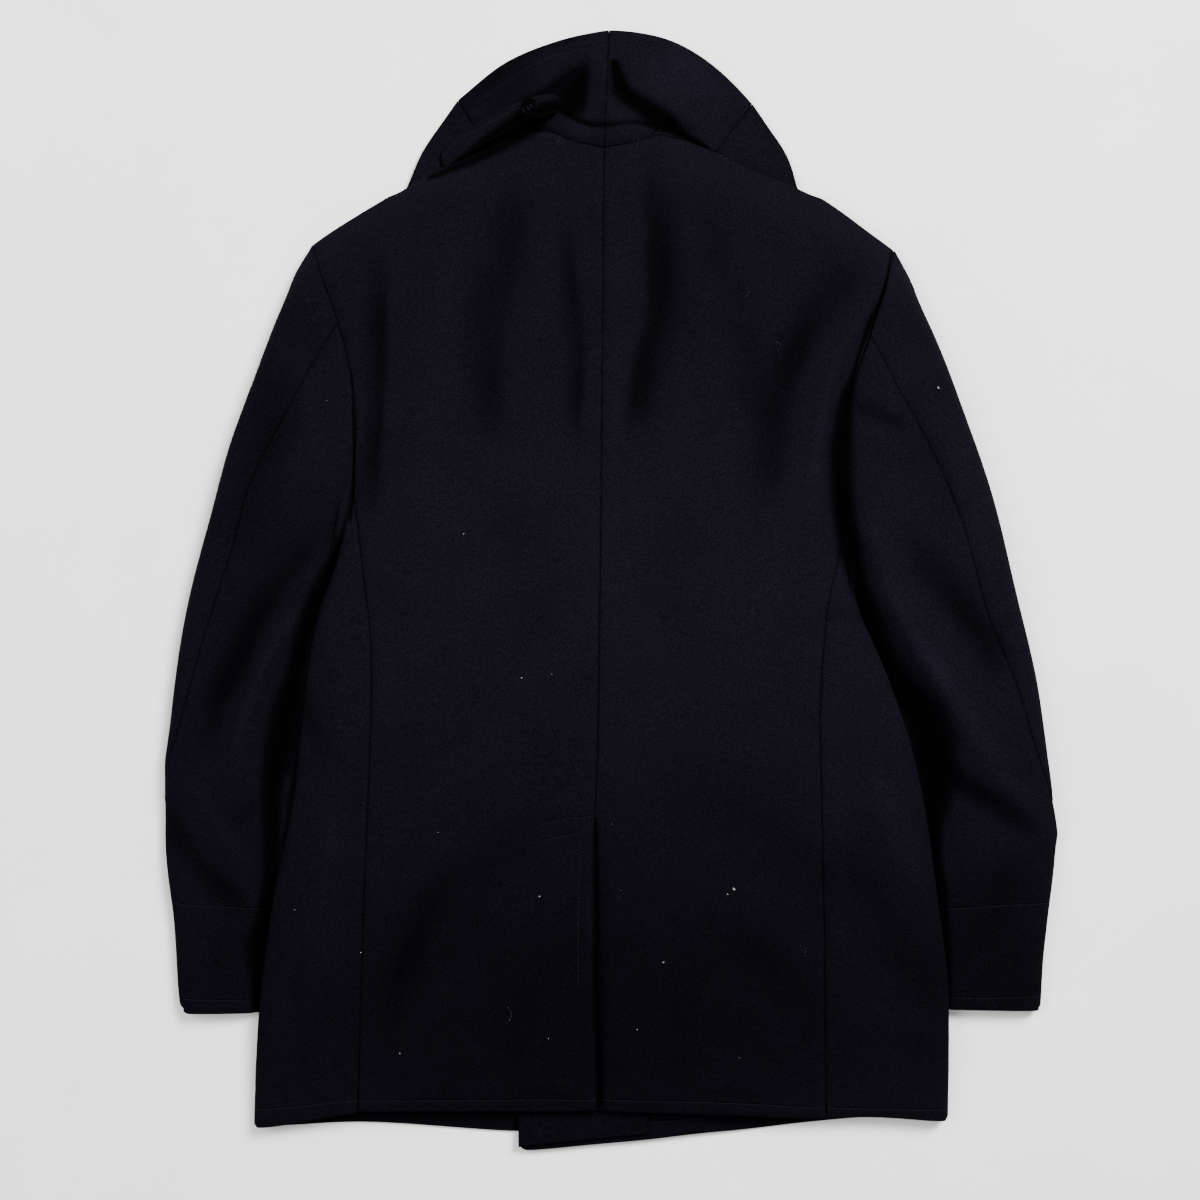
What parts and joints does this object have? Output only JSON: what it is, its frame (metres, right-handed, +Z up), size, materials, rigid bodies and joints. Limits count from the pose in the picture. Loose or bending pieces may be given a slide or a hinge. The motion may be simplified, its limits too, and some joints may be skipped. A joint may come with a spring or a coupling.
{
  "type": "pea coat",
  "caption": "Double-breasted wool pea coat laid face down: centre-back vent, two-piece sleeves tucked under the sides, raised collar with a buttoned throat tab.",
  "frame": {"origin": "centre of the coat's outline on the surface that it lies on", "axes": "+Z up out of the coat's back, +Y towards the collar, +X towards the wearer's right"},
  "size_m": [0.7039, 0.8817, 0.0357],
  "materials": {
    "melton": "dense fulled wool melton, navy black, matt with a short nap",
    "button": "glossy black button"
  },
  "bodies": {
    "root": {"back_left": "melton", "back_right": "melton", "front_left": "melton", "front_right": "melton", "sleeve_left_top": "melton", "sleeve_left_under": "melton", "sleeve_right_top": "melton", "sleeve_right_under": "melton", "undercollar_left": "melton", "undercollar_right": "melton", "top_collar": "melton", "lapel_left": "melton", "lapel_right": "melton", "facing_right": "melton", "throat_tab": "melton", "throat_button": "button", "front_button_1": "button", "front_button_2": "button", "front_button_3": "button", "front_button_4": "button", "front_button_5": "button", "front_button_6": "button"}
  },
  "joints": []
}
